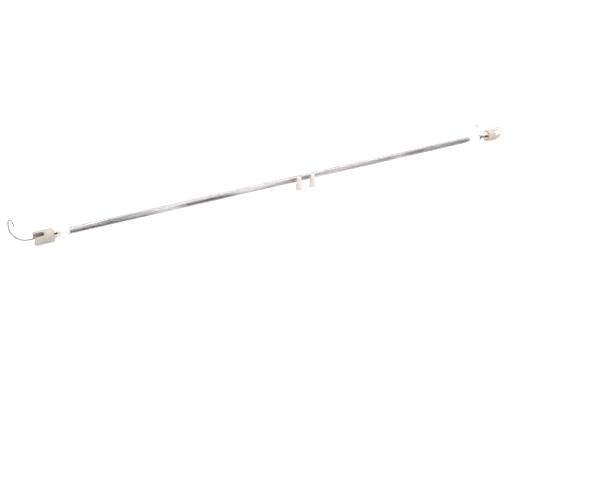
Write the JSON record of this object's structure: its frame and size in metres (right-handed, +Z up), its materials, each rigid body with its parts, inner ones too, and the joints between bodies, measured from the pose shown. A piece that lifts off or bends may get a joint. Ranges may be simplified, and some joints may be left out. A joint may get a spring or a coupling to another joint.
{
  "type": "quartz heat lamp",
  "caption": "Tubular quartz infrared heat lamp for a strip food warmer, with slotted ceramic end caps, sleeved leads and loose ceramic wire nuts.",
  "frame": {"origin": "on the surface the parts lie on, under the middle of the box round the rigid parts (lamp and wire nuts, without the leads)", "axes": "+X along the lamp from the left end to the right end, +Z up, -Y towards the side where the wire nuts stand"},
  "size_m": [0.8174, 0.1046, 0.0182],
  "materials": {
    "quartz": "clear fused quartz",
    "winding": "drawn resistance wire",
    "foil": "dark seal foil",
    "nickel": "dull nickel",
    "cement": "matt refractory cement",
    "cap_ceramic": "unglazed steatite",
    "nut_ceramic": "unglazed porcelain",
    "braid": "woven glass-fibre sleeving",
    "bare_wire": "stripped copper strands, partly tarnished",
    "spring_steel": "plated spring wire"
  },
  "bodies": {
    "lamp": {"quartz_tube": "quartz", "heating_coil": "winding", "coil_tail_left": "winding", "coil_tail_right": "winding", "seal_foil_left": "foil", "seal_foil_right": "foil", "outer_pin_left": "nickel", "outer_pin_right": "nickel", "crimp_sleeve_left": "nickel", "crimp_sleeve_right": "nickel", "cement_plug_left": "cement", "cement_plug_right": "cement", "end_cap_left": "cap_ceramic", "end_cap_right": "cap_ceramic", "lead_core_left": "bare_wire", "lead_core_right": "bare_wire", "lead_sleeve_left": "braid", "lead_sleeve_right": "braid", "bare_end_left": "bare_wire", "bare_end_right": "bare_wire"},
    "wire_nut_1": {"wire_nut_shell_1": "nut_ceramic", "wire_nut_spring_1": "spring_steel"},
    "wire_nut_2": {"wire_nut_shell_2": "nut_ceramic", "wire_nut_spring_2": "spring_steel"}
  },
  "joints": [
    {"name": "wire_nut_1_lift", "type": "slide", "parent": "lamp", "child": "wire_nut_1", "axis": [0, 0, 1], "range_m": [0, 0.12]},
    {"name": "wire_nut_2_lift", "type": "slide", "parent": "lamp", "child": "wire_nut_2", "axis": [0, 0, 1], "range_m": [0, 0.12]}
  ]
}
